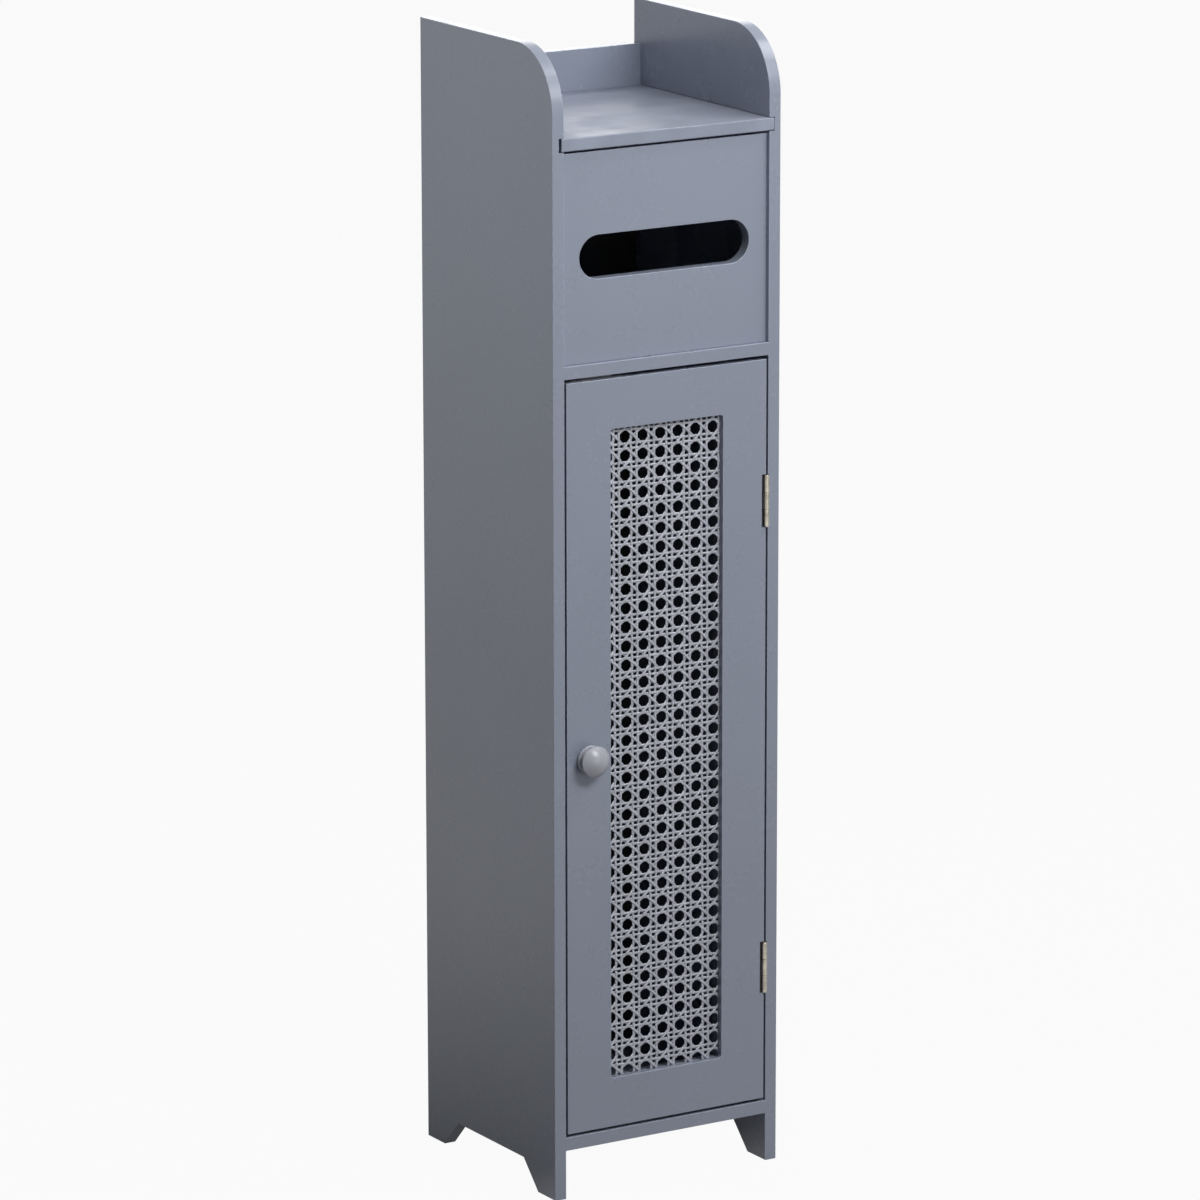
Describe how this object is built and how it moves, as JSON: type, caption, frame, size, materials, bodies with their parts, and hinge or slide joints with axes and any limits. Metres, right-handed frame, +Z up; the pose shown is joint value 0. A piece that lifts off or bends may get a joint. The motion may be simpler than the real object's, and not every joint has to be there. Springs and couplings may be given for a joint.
{
  "type": "toilet roll storage cabinet",
  "caption": "Narrow painted cabinet on cut-out feet with a cane-fronted hinged door, a slotted compartment above it and a lid that slides forward.",
  "frame": {"origin": "on the floor, midway across the width, and midway between the face of the knob and the back edges of the side panels", "axes": "+Z up, -Y out of the front, +X to the right as seen from the front"},
  "size_m": [0.181, 0.1885, 0.8],
  "materials": {
    "painted_board": "satin paint, blue-grey",
    "painted_backing": "dark stained hardboard",
    "painted_knob": "satin paint, blue-grey",
    "painted_cane": "grey painted woven cane",
    "dowel_wood": "bare beech",
    "nickel": "satin nickel plate",
    "steel": "zinc plated",
    "catch_plastic": "moulded",
    "magnet": "matt"
  },
  "bodies": {
    "cabinet": {"left_side_panel": "painted_board", "right_side_panel": "painted_board", "bottom_shelf": "painted_board", "divider_shelf": "painted_board", "slotted_front_panel": "painted_board", "back_rail": "painted_board", "back_panel": "painted_backing", "back_panel_nails": "steel", "bottom_shelf_dowels": "dowel_wood", "divider_shelf_dowels": "dowel_wood", "front_panel_dowels": "dowel_wood", "back_rail_dowels": "dowel_wood", "upper_hinge_frame_leaf": "nickel", "upper_hinge_pin": "nickel", "lower_hinge_frame_leaf": "nickel", "lower_hinge_pin": "nickel", "hinge_frame_screws": "nickel", "catch_body": "catch_plastic", "catch_magnet": "magnet", "catch_screws": "steel"},
    "lid": {"sliding_lid": "painted_board"},
    "door": {"door_panel": "painted_board", "cane_panel": "painted_cane", "cane_bead_top": "painted_board", "cane_bead_bottom": "painted_board", "cane_bead_left": "painted_board", "cane_bead_right": "painted_board", "cane_bead_pins": "steel", "door_knob": "painted_knob", "knob_screw": "steel", "upper_hinge_door_leaf": "nickel", "lower_hinge_door_leaf": "nickel", "hinge_door_screws": "nickel", "strike_plate": "steel", "strike_screw": "steel"}
  },
  "joints": [
    {"name": "door_hinge", "type": "hinge", "parent": "cabinet", "child": "door", "pos_m": [0.08015, -0.08015, 0.30975], "axis": [0, 0, 1], "range_deg": [0, 180]},
    {"name": "lid_slide", "type": "slide", "parent": "cabinet", "child": "lid", "axis": [0, -1, 0], "range_m": [0, 0.16]}
  ]
}
